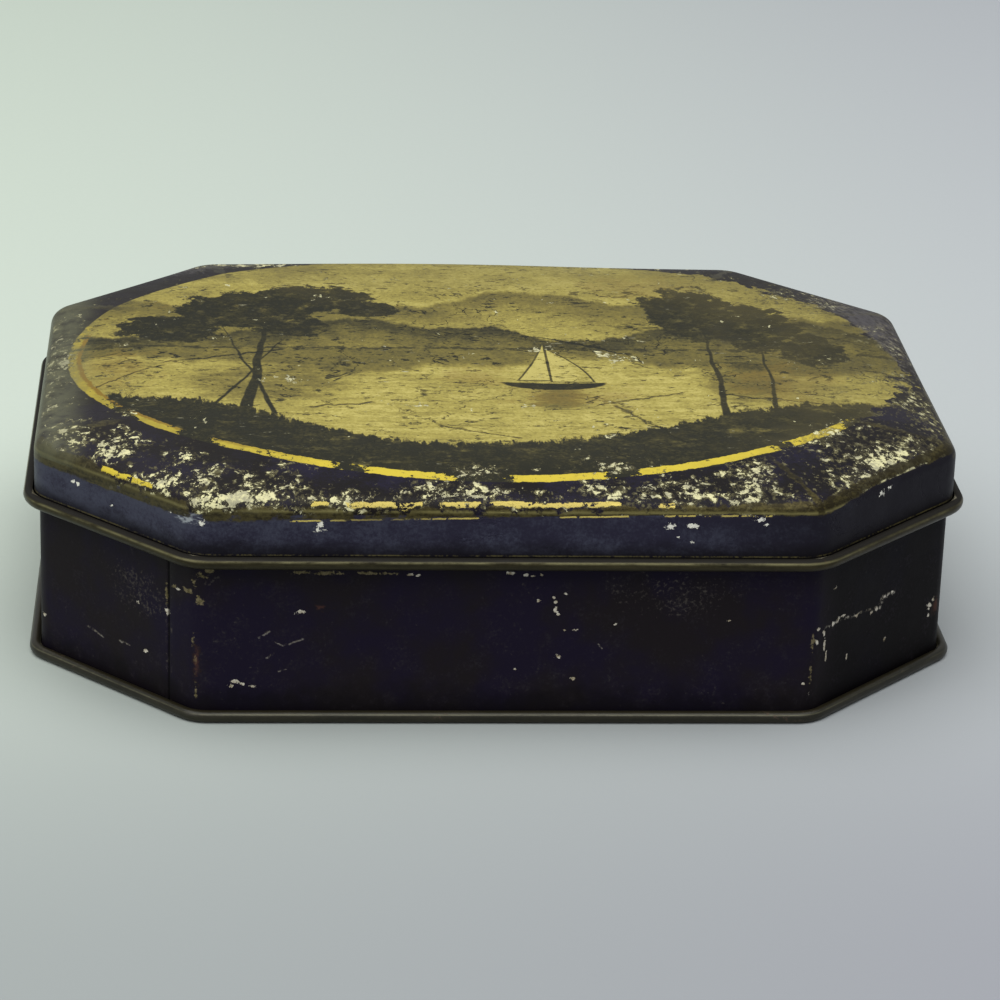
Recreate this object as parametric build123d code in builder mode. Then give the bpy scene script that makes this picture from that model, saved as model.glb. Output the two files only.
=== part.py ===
"""Eight-sided tin box with a slip-on lid, pressed and rolled from thin tinplate.

Millimetres. The origin is at the middle of the underside, +X runs along the
long side, -Y is the front and +Z is up. The lid is modelled closed.
"""

import os
from math import cos, radians, sqrt

from build123d import *

os.makedirs("parts", exist_ok=True)

# Sheet and play
sheet = 0.3
seam_play = 0.1
seat_gap = 0.3

# Plan, measured over the wall's outer face
body_length = 230.0
body_width = 182.0
corner_cut = 39.5
wall_corner_radius = 7.0

# Wall
body_height = 56.9
rim_curl_radius = 1.0
rim_curl_turn = 290.0

# Base seam and floor
base_curl_radius = 1.5
base_curl_reach = 1.55
base_curl_turn = 240.0
foot_bend_radius = 0.5
foot_leg = 1.2
floor_raise = 2.4
floor_bend_radius = 0.7
floor_margin = 1.5

# Lock seam, on the front left cut corner
seam_from_corner = 9.5
seam_overlap = 5.0
seam_layer_gap = 0.06
seam_end_margin = 3.0
seam_shoulder = 1.0

# Lid
lid_clearance = 1.05
skirt_depth = 11.9
shoulder_radius = 4.0
lid_corner_radius = 11.0
lid_curl_radius = 1.55
lid_curl_turn = 300.0
dome_rise = 3.2
dome_run = 30.0
dome_steps = 3
crease_radius = 1.2

# Selection tolerance
edge_tolerance = 0.01

# Derived sizes
half_width = body_width / 2
half_sheet = sheet / 2
bend_radius = foot_bend_radius + half_sheet
lid_outset = lid_clearance + sheet

# Between the rounded corners of wall and skirt the clearance differs from the sides'
corner_stretch = 1 / cos(radians(45) / 2)
corner_radius_step = lid_corner_radius - sheet - wall_corner_radius
corner_clearance = lid_clearance * corner_stretch - corner_radius_step * (corner_stretch - 1)
least_clearance = min(lid_clearance, corner_clearance)

# The wall's rim curl sits under the lid's rounded shoulder, seat_gap away
rim_centre_height = body_height - rim_curl_radius
seat_reach = shoulder_radius - sheet - rim_curl_radius - seat_gap
seat_inset = shoulder_radius - sheet - least_clearance - rim_curl_radius
seat_rise = sqrt(seat_reach**2 - seat_inset**2) if seat_inset > 0 else seat_reach
spring_height = rim_centre_height - seat_rise
lid_curl_height = spring_height - skirt_depth

# Section plane at the middle of the front: local x is the outset, local y the height
section_plane = Plane(origin=(0, -half_width, 0), x_dir=(0, -1, 0), z_dir=(-1, 0, 0))


def plan_corners(outset):
    """Corners of the plan, moved out by outset from the wall's outer face."""
    x = body_length / 2 + outset
    y = half_width + outset
    cut = corner_cut + outset * (2 - sqrt(2))
    return [
        (x - cut, -y),
        (x, cut - y),
        (x, y - cut),
        (x - cut, y),
        (cut - x, y),
        (-x, y - cut),
        (-x, cut - y),
        (cut - x, -y),
    ]


def plan_path(radius):
    """The wall's outer outline from the middle of the front, corners rounded."""
    with BuildLine() as outline:
        FilletPolyline(
            (0, -half_width),
            *plan_corners(0),
            radius=[0] + [radius] * 8,
            close=True,
        )
    return outline.line


def plan_face(outset, radius, height=0.0):
    """The plan as a flat face, moved out by outset, at a height."""
    with BuildSketch(Plane.XY.offset(height)) as face:
        with BuildLine():
            FilletPolyline(*plan_corners(outset), radius=radius, close=True)
        make_face()
    return face.sketch


def curl_face(centre, radius, start_angle, turn):
    """Section of a rolled edge: a ring of sheet from start_angle through turn."""
    with BuildSketch(section_plane) as face:
        with BuildLine():
            outer = CenterArc(centre, radius, start_angle, turn)
            inner = CenterArc(centre, radius - sheet, start_angle, turn)
            Line(outer @ 0, inner @ 0)
            Line(outer @ 1, inner @ 1)
        make_face()
    return face.sketch


# Lid: domed panel with hipped corners, rounded shoulder, skirt and outward curl
dome_slope = 2 * dome_rise / dome_run
dome_edge_height = spring_height + shoulder_radius * (sqrt(1 + dome_slope**2) - dome_slope)
dome_sections = []
for step in range(dome_steps + 1):
    share = step / dome_steps
    inset = dome_run * share
    height = dome_edge_height + dome_rise * (1 - (1 - share) ** 2)
    radius = max(lid_corner_radius - inset, crease_radius)
    dome_sections.append(plan_face(lid_outset - inset, radius, height))

lid_curl_centre = (lid_clearance + lid_curl_radius, lid_curl_height)

with BuildPart() as lid:
    with BuildSketch(Plane.XY.offset(lid_curl_height)):
        add(plan_face(lid_outset, lid_corner_radius))
    extrude(amount=dome_edge_height - lid_curl_height)
    loft(sections=dome_sections)
    shoulder_edges = lid.edges().filter_by_position(
        Axis.Z, dome_edge_height - edge_tolerance, dome_edge_height + edge_tolerance
    )
    fillet(shoulder_edges, shoulder_radius)
    offset(amount=-sheet, openings=lid.faces().sort_by(Axis.Z)[0])
    sweep(
        sections=curl_face(lid_curl_centre, lid_curl_radius, 180, lid_curl_turn),
        path=plan_path(lid_corner_radius - lid_outset),
    )

lid.part.label = "lid"
export_step(lid.part, "parts/lid.step")

# Foot of the wall: the sheet turns out into a flange that the base curl grips
flange_height = base_curl_radius
ring_bottom = flange_height + foot_leg
flange_end = base_curl_reach + base_curl_radius - sheet - 2 * seam_play

with BuildSketch(section_plane) as foot_flange:
    with BuildLine():
        FilletPolyline(
            (-half_sheet, ring_bottom),
            (-half_sheet, flange_height),
            (flange_end, flange_height),
            radius=bend_radius,
        )
    trace(line_width=sheet)

# Lock seam: both ends of the wall strip fold into hooks that lie inside each other
seam_step = sheet + seam_layer_gap
layers = [half_sheet + seam_step * number for number in range(4)]
fold_radius = 0.9 * seam_step
front_left_corner = Vector(*plan_corners(0)[7])
seam_along = (Vector(*plan_corners(0)[6]) - front_left_corner).normalized()
seam_line = front_left_corner + seam_along * seam_from_corner
seam_bottom = 2 * base_curl_radius + seam_end_margin
seam_top = rim_centre_height - rim_curl_radius - seam_end_margin
seam_plane = Plane(
    origin=(seam_line.X, seam_line.Y, seam_bottom), x_dir=-seam_along, z_dir=(0, 0, 1)
)
seam_length = seam_overlap + 2 * seam_shoulder

with BuildSketch(seam_plane) as seam_window:
    with Locations((seam_overlap / 2, 0)):
        Rectangle(seam_length, 4 * sheet)

with BuildSketch(seam_plane) as near_hook:
    with BuildLine():
        FilletPolyline(
            (seam_overlap + seam_shoulder, layers[0]),
            (half_sheet, layers[0]),
            (half_sheet, layers[2]),
            (seam_overlap - seam_step, layers[2]),
            radius=fold_radius,
        )
    trace(line_width=sheet)

with BuildSketch(seam_plane) as far_hook:
    with BuildLine():
        FilletPolyline(
            (-seam_shoulder, layers[0]),
            (half_sheet - seam_step, layers[0]),
            (half_sheet - seam_step, layers[3]),
            (seam_overlap, layers[3]),
            (seam_overlap, layers[1]),
            (half_sheet + seam_step, layers[1]),
            radius=fold_radius,
        )
    trace(line_width=sheet)

# Body wall: eight-sided ring with the foot flange, the seam and an inward rim curl
rim_curl_centre = (-rim_curl_radius, rim_centre_height)

with BuildPart() as body_wall:
    with BuildSketch(Plane.XY.offset(ring_bottom)):
        add(plan_face(0, wall_corner_radius))
        add(plan_face(-sheet, wall_corner_radius - sheet), mode=Mode.SUBTRACT)
    extrude(amount=rim_centre_height - ring_bottom)
    extrude(seam_window.sketch, amount=seam_top - seam_bottom, mode=Mode.SUBTRACT)
    extrude(near_hook.sketch, amount=seam_top - seam_bottom)
    extrude(far_hook.sketch, amount=seam_top - seam_bottom)
    sweep(sections=foot_flange.sketch, path=plan_path(wall_corner_radius))
    sweep(
        sections=curl_face(rim_curl_centre, rim_curl_radius, 0, rim_curl_turn),
        path=plan_path(wall_corner_radius),
    )

body_wall.part.label = "body_wall"
export_step(body_wall.part, "parts/body_wall.step")

# Base panel: raised floor, sink wall inside the body, edge rolled over the flange
sink_outset = -(sheet + seam_play + half_sheet)
floor_outset = sink_outset - floor_margin

with BuildSketch(section_plane) as base_seam:
    with BuildLine():
        FilletPolyline(
            (floor_outset, floor_raise + half_sheet),
            (sink_outset, floor_raise + half_sheet),
            (sink_outset, half_sheet),
            (base_curl_reach, half_sheet),
            radius=floor_bend_radius,
        )
        CenterArc(
            (base_curl_reach, base_curl_radius),
            base_curl_radius - half_sheet,
            -90,
            base_curl_turn,
        )
    trace(line_width=sheet)

with BuildPart() as base_panel:
    with BuildSketch(Plane.XY.offset(floor_raise)):
        add(plan_face(floor_outset, wall_corner_radius + floor_outset))
    extrude(amount=sheet)
    sweep(sections=base_seam.sketch, path=plan_path(wall_corner_radius))

base_panel.part.label = "base_panel"
export_step(base_panel.part, "parts/base_panel.step")
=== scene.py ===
"""Looks of the eight-sided tin box: printed lid, lacquered wall and rolled base, all worn.

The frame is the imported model's, in metres. Sizes are named in millimetres and turned
into metres where a mesh or the camera is made. The lights are placed in metres.
"""

from math import atan, cos, exp, pi, radians, sin, sqrt, tan

import bmesh
import bpy
from mathutils import Matrix, Vector


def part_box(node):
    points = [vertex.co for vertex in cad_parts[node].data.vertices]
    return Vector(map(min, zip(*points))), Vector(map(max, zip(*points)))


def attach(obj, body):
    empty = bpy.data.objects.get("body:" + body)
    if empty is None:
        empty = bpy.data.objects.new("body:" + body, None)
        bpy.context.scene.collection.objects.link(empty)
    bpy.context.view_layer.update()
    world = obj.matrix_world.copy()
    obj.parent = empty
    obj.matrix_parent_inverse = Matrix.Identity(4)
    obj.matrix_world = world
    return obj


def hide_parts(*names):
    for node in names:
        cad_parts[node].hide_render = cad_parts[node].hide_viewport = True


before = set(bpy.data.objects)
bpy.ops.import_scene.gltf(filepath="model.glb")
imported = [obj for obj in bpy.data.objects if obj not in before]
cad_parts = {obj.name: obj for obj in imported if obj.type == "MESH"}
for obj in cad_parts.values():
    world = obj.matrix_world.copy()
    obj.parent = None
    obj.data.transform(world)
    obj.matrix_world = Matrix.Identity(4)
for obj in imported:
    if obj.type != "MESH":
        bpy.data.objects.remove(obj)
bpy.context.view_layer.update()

MM = 0.001

# Sheet, plan, rolled edges and dome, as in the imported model
sheet = 0.3
corner_cut = 39.5
wall_corner_radius = 7.0
rim_curl_radius = 1.0
rim_curl_turn = 290.0
base_curl_radius = 1.5
base_curl_turn = 240.0
base_bend_radius = 0.7
sink_clearance = 0.1
floor_raise = 2.4
foot_bend_radius = 0.5
foot_end_gap = 0.5
lid_clearance = 1.05
lid_corner_radius = 11.0
lid_curl_radius = 1.55
lid_curl_turn = 300.0
shoulder_radius = 4.0
dome_rise = 3.2
dome_run = 30.0
crease_radius = 1.2

# Lock seam on the front left cut corner
seam_from_corner = 9.5
seam_overlap = 5.0
seam_layer_gap = 0.06
seam_bottom = 6.0
seam_top = 51.9
seam_groove_depth = 0.25
seam_groove_half = 0.55

# Sizes and heights worked out from the frame and the values above
lid_low, lid_high = [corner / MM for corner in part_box("lid")]
wall_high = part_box("body_wall")[1] / MM
base_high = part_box("base_panel")[1] / MM
half_sheet = sheet / 2
lid_outset = lid_clearance + sheet
half_length = lid_high.x - lid_clearance - 2 * lid_curl_radius
half_width = lid_high.y - lid_clearance - 2 * lid_curl_radius
body_height = wall_high.z
dome_top = lid_high.z
lid_curl_height = lid_low.z + lid_curl_radius
skirt_foot = lid_curl_height + lid_curl_radius
base_curl_reach = base_high.x - half_length - base_curl_radius

# Mesh fineness
corner_steps = 8
side_step = 4.0
dome_steps = 12
middle_steps = 18
shoulder_steps = 10
rim_curl_steps = 20
base_curl_steps = 24
lid_curl_steps = 28
sharp_angle = 40.0


def plan_corners(outset):
    """Corners of the plan, moved out by outset from the wall's outer face."""
    x = half_length + outset
    y = half_width + outset
    cut = corner_cut + outset * (2 - sqrt(2))
    places = [(x - cut, -y), (x, cut - y), (x, y - cut), (x - cut, y)]
    right_half = [Vector(place) for place in places]
    return right_half + [-place for place in right_half]


def front_place(x, z, outset=0.0):
    """The place at x and a height z on the front and its two cut corners, moved out."""
    corner = plan_corners(outset)[0]
    return (x, corner.y + max(abs(x) - corner.x, 0), z)


# The seam is a vertical line on the side before the front left corner
seam_side = 6
left_front, front_left = plan_corners(0)[seam_side:]
seam_along = (left_front - front_left).normalized()
seam_inward = Vector((seam_along.y, -seam_along.x))
seam_place = front_left + seam_along * seam_from_corner


def side_shares():
    """Where each straight side is divided, as shares of its length, closer at the seam."""
    corners = plan_corners(0)
    trim = wall_corner_radius * tan(pi / 8)
    shares = []
    for number, corner in enumerate(corners):
        straight = (corners[(number + 1) % 8] - corner).length - 2 * trim
        count = round(straight / side_step)
        places = [step / count for step in range(1, count)]
        if number == seam_side:
            seam_share = 1 - (seam_from_corner - trim) / straight
            margin = 2 * seam_groove_half / straight
            places = [place for place in places if abs(place - seam_share) > margin]
            for part in (-1, -0.7, -0.45, -0.2, 0, 0.2, 0.45, 0.7, 1):
                places.append(seam_share + part * seam_groove_half / straight)
            places.sort()
        shares.append(places)
    return shares


divisions = side_shares()


def plan_ring(outset, corner_radius):
    """Points round the eight-sided plan, as many on every ring."""
    corners = plan_corners(outset)
    trim = corner_radius * tan(pi / 8)
    ring = []
    for number, corner in enumerate(corners):
        following = corners[(number + 1) % 8]
        back = (corners[number - 1] - corner).normalized()
        onward = (following - corner).normalized()
        centre = corner + (back + onward).normalized() * corner_radius / cos(pi / 8)
        spoke = corner + back * trim - centre
        for step in range(corner_steps + 1):
            turned = Matrix.Rotation(pi / 4 * step / corner_steps, 2) @ spoke
            ring.append(centre + turned)
        start = ring[-1]
        end = following - onward * trim
        ring += [start.lerp(end, share) for share in divisions[number]]
    return ring


# A sheet's middle line is a list of stations: (outset, height), the unit vector to its
# left side, and the spread of the ring there, 1 except on a flat middle


def arc_line(centre, radius, start, turn, steps):
    """Stations along an arc of a sheet's middle line, angles in degrees."""
    line = []
    for step in range(steps + 1):
        angle = radians(start + turn * step / steps)
        spoke = Vector((cos(angle), sin(angle)))
        left = -spoke if turn > 0 else spoke
        line.append((Vector(centre) + spoke * radius, left, 1.0))
    return line


def bent_line(points, radius, longest=4.0, bend_steps=6):
    """Stations along straight runs whose corners are bent to a radius."""
    points = [Vector(point) for point in points]
    line = []
    start = points[0]
    for number in range(1, len(points)):
        along = (points[number] - points[number - 1]).normalized()
        left = Vector((-along.y, along.x))
        end = points[number]
        last = number == len(points) - 1
        if not last:
            onward = (points[number + 1] - points[number]).normalized()
            turn = along.angle_signed(onward) * -1
            trim = radius * tan(abs(turn) / 2)
            end = points[number] - along * trim
        count = max(1, round((end - start).length / longest))
        line += [(start.lerp(end, step / count), left, 1.0) for step in range(count + 1)]
        if not last:
            side = 1 if turn > 0 else -1
            centre = end + left * radius * side
            for step in range(1, bend_steps):
                swing = Matrix.Rotation(turn * step / bend_steps, 2)
                line.append((centre + swing @ (end - centre), swing @ left, 1.0))
            start = points[number] + onward * trim
    return line


def flat_middle(outset, height, steps):
    """Stations from the plan's centre out to a ring at an outset, level all the way."""
    upward = Vector((0, 1))
    return [(Vector((outset, height)), upward, step / steps) for step in range(steps)]


def add_skin(mesh, rings, material):
    """Quads between rings that follow each other, or a fan where the first is one point."""
    for first, second in zip(rings, rings[1:]):
        count = len(second)
        for number in range(count):
            after = (number + 1) % count
            if len(first) == 1:
                corners = (first[0], second[number], second[after])
            else:
                corners = (first[number], second[number], second[after], first[after])
            face = mesh.faces.new(corners)
            face.material_index = material
            face.smooth = True


def add_sheet(mesh, line, corner_at, shape, materials):
    """A sheet of steel round the plan, from its middle line, with both skins and raw ends."""
    skins = []
    for side, material in zip((1, -1), materials):
        rings = []
        for place, left, spread in line:
            outset, height = place + left * half_sheet * side
            ring = plan_ring(outset, corner_at(outset))
            if spread == 0:
                ring = [Vector((0, 0))]
            points = [Vector((*(point * spread), height)) for point in ring]
            rings.append([mesh.verts.new(shape(point) * MM) for point in points])
        add_skin(mesh, rings, material)
        skins.append(rings)
    for end in (0, -1):
        if len(skins[0][end]) > 1:
            add_skin(mesh, [skins[0][end], skins[1][end]], materials[1])


def add_strip(mesh, line, bottom, top, material):
    """A folded strip that stands upright on the seam, drawn by its middle line in plan."""
    rows = []
    for height in (bottom, top):
        outline = [(place + left * half_sheet) for place, left, _ in line]
        outline += [(place - left * half_sheet) for place, left, _ in reversed(line)]
        row = []
        for along, inward in outline:
            plan = seam_place - seam_along * along + seam_inward * inward
            row.append(mesh.verts.new(Vector((plan.x, plan.y, height)) * MM))
        rows.append(row)
    add_skin(mesh, rows, material)
    half = len(line)
    for row in rows:
        for number in range(half - 1):
            far = 2 * half - 1 - number
            face = mesh.faces.new((row[number], row[number + 1], row[far - 1], row[far]))
            face.material_index = material


def add_object(name, mesh, materials):
    """Turns the mesh into an object in the scene."""
    data = bpy.data.meshes.new(name)
    mesh.to_mesh(data)
    mesh.free()
    for material in materials:
        data.materials.append(material)
    made = bpy.data.objects.new(name, data)
    bpy.context.collection.objects.link(made)
    return made


def finish_piece(name, mesh, materials, body, node):
    """Turns the mesh into a piece that rides on a body in place of its CAD node."""
    bmesh.ops.recalc_face_normals(mesh, faces=mesh.faces)
    piece = add_object(name, mesh, materials)
    piece.data.set_sharp_from_angle(angle=radians(sharp_angle))
    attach(piece, body)
    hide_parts(node)


# Soft dents: centre, reach and push, in millimetres
lid_dents = [
    ((-62, 22, 61), 26, (0, 0, -0.45)), ((18, -18, 61), 34, (0, 0, -0.35)),
    ((70, 38, 61), 22, (0, 0, -0.4)), ((-15, 60, 61), 24, (0, 0, -0.3)),
    ((48, -70, 59), 14, (0, 0.05, -0.3)), ((-88, -30, 59), 15, (0.05, 0, -0.35)),
    ((100, 5, 59), 15, (-0.05, 0, -0.35)), ((-30, -93, 49), 26, (0, 0.28, 0)),
    ((52, -93, 48), 20, (0, 0.2, 0)), ((100, -74, 49), 14, (-0.18, 0.18, 0)),
    ((-100, -74, 49), 16, (0.16, 0.16, 0)), ((40, 93, 49), 24, (0, -0.3, 0)),
]
lid_bulge = ((-12, 93, 58), (52, 13, 8), 1.15)
wall_dents = [
    ((-35, -91, 24), 26, (0, 0.5, 0)), ((42, -91, 28), 20, (0, 0.35, 0)),
    ((98, -70, 24), 14, (-0.3, 0.3, 0)), ((-100, -68, 22), 14, (0.28, 0.28, 0)),
    ((115, 18, 26), 18, (-0.5, 0, 0)), ((-115, -12, 24), 20, (0.45, 0, 0)),
    ((-30, 91, 26), 28, (0, -0.55, 0)), ((50, 91, 20), 18, (0, -0.3, 0)),
]


def dented(point, dents):
    """The point pushed in by the dents that reach it."""
    moved = point.copy()
    for centre, reach, push in dents:
        gap = (point - Vector(centre)).length / reach
        if gap < 3:
            moved += Vector(push) * exp(-gap * gap)
    return moved


def lid_shape(point):
    """Dents of the lid, and its bent up back edge. The rolled edge keeps its place."""
    if point.z < lid_curl_height + 2 * lid_curl_radius:
        return point
    moved = dented(point, lid_dents)
    centre, reach, lift = lid_bulge
    gap = [(a - b) / part for a, b, part in zip(point, centre, reach)]
    moved.z += lift * exp(-sum(part * part for part in gap))
    return moved


def wall_shape(point):
    """Dents of the wall, and the groove of its seam."""
    moved = dented(point, wall_dents)
    plan = Vector((point.x, point.y)) - seam_place
    side = plan.dot(seam_along) / seam_groove_half
    outside = plan.dot(seam_inward) < half_sheet
    if abs(side) < 1 and outside:
        depth = seam_groove_depth * (1 - side * side) ** 2
        moved += Vector((*(seam_inward * depth), 0))
    return moved


def lid_corner(outset):
    """Corner radius of the lid's plan, down to the hips' crease."""
    return max(lid_corner_radius + outset - lid_outset, crease_radius)


def wall_corner(outset):
    """Corner radius of the wall's and the base's plan."""
    return wall_corner_radius + outset


def make_lid(materials):
    """Domed panel with hipped corners, rounded shoulder, skirt and outward curl."""
    crown = dome_top - half_sheet
    line = flat_middle(lid_outset - dome_run, crown, middle_steps)
    first_inset = shoulder_radius * 0.8
    for step in range(dome_steps + 1):
        share = step / dome_steps
        inset = dome_run - (dome_run - first_inset) * share
        rest = 1 - inset / dome_run
        height = crown - dome_rise * rest * rest
        slope = atan(2 * dome_rise / dome_run * rest)
        place = Vector((lid_outset - inset, height))
        left = Vector((sin(slope), cos(slope)))
        line.append((place, left, 1.0))
    middle_radius = shoulder_radius - half_sheet
    centre = place - left * middle_radius
    centre.x = lid_outset - shoulder_radius
    turn = 90 - slope * 180 / pi
    line += arc_line(centre, middle_radius, turn, -turn, shoulder_steps)[1:]
    skirt_outset = lid_outset - half_sheet
    curl_centre = (lid_clearance + lid_curl_radius, lid_curl_height)
    curl_middle_radius = lid_curl_radius - half_sheet
    line += bent_line([(skirt_outset, centre.y), (skirt_outset, lid_curl_height)], 0, 2.0)[1:-1]
    line += arc_line(curl_centre, curl_middle_radius, 180, lid_curl_turn, lid_curl_steps)
    mesh = bmesh.new()
    add_sheet(mesh, line, lid_corner, lid_shape, (0, 1))
    finish_piece("printed_lid", mesh, materials, "lid", "lid")


def make_wall(materials):
    """Eight-sided wall with a foot flange, a lock seam and an inward rim curl."""
    flange_end = base_curl_reach + base_curl_radius - foot_end_gap
    rim_centre = (-rim_curl_radius, body_height - rim_curl_radius)
    foot = [(flange_end, base_curl_radius), (-half_sheet, base_curl_radius)]
    line = bent_line(foot + [(-half_sheet, rim_centre[1])], foot_bend_radius + half_sheet)
    line.pop()
    rim_middle_radius = rim_curl_radius - half_sheet
    line += arc_line(rim_centre, rim_middle_radius, 0, rim_curl_turn, rim_curl_steps)
    mesh = bmesh.new()
    add_sheet(mesh, line, wall_corner, wall_shape, (1, 0))
    step = sheet + seam_layer_gap
    layers = [half_sheet + step * number for number in range(4)]
    near_hook = [(half_sheet, sheet), (half_sheet, layers[2]), (seam_overlap - step, layers[2])]
    far_hook = [(half_sheet - step, sheet), (half_sheet - step, layers[3])]
    far_hook += [(seam_overlap, layers[3]), (seam_overlap, layers[1])]
    far_hook.append((half_sheet + step, layers[1]))
    for hook in (near_hook, far_hook):
        add_strip(mesh, bent_line(hook, 0.5 * step, bend_steps=5), seam_bottom, seam_top, 1)
    finish_piece("lacquered_wall", mesh, materials, "box", "body_wall")


def make_base(materials):
    """Raised floor, sink wall inside the body, and the edge rolled over the foot flange."""
    sink = -(sheet + sink_clearance + half_sheet)
    level = floor_raise + half_sheet
    path = [(sink - 2 * base_bend_radius, level), (sink, level)]
    path += [(sink, half_sheet), (base_curl_reach, half_sheet)]
    curl_centre = (base_curl_reach, base_curl_radius)
    curl_middle_radius = base_curl_radius - half_sheet
    line = flat_middle(path[0][0], level, middle_steps)
    line += bent_line(path, base_bend_radius)[:-1]
    line += arc_line(curl_centre, curl_middle_radius, -90, base_curl_turn, base_curl_steps)
    mesh = bmesh.new()
    add_sheet(mesh, line, wall_corner, lambda point: point, (0, 0))
    finish_piece("rolled_base", mesh, materials, "box", "base_panel")


def srgb(red, green, blue):
    """A colour given in screen values from 0 to 255, as a shader takes it."""
    shares = [value / 255 for value in (red, green, blue)]
    linear = [s / 12.92 if s <= 0.04045 else ((s + 0.055) / 1.055) ** 2.4 for s in shares]
    return (*linear, 1.0)


class Field:
    """A number that varies over a surface, held by a socket of the material's nodes."""

    def __init__(self, surface, socket):
        self.surface = surface
        self.socket = socket

    def math(self, operation, *others):
        return self.surface.math(operation, self, *others)

    def __add__(self, other):
        return self.math("ADD", other)

    def __sub__(self, other):
        return self.math("SUBTRACT", other)

    def __rsub__(self, other):
        return self.surface.math("SUBTRACT", other, self)

    def __mul__(self, other):
        return self.math("MULTIPLY", other)

    def __truediv__(self, other):
        return self.math("DIVIDE", other)

    def __abs__(self):
        return self.math("ABSOLUTE")

    __radd__ = __add__
    __rmul__ = __mul__

    def least(self, other):
        return self.math("MINIMUM", other)

    def most(self, other):
        return self.math("MAXIMUM", other)

    def sine(self):
        return self.math("SINE")

    def ease(self, low, high):
        """0 where this is below low, 1 above high, eased between, and low may be the higher."""
        node = self.surface.node("ShaderNodeMapRange")
        node.interpolation_type = "SMOOTHSTEP"
        self.surface.feed(node.inputs["Value"], self)
        self.surface.feed(node.inputs["From Min"], low)
        self.surface.feed(node.inputs["From Max"], high)
        return Field(self.surface, node.outputs[0])

    def band(self, middle, half, soft):
        """1 within half of the middle, and 0 outside, with soft edges."""
        return (half - abs(self - middle)).ease(-soft, soft)


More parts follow.
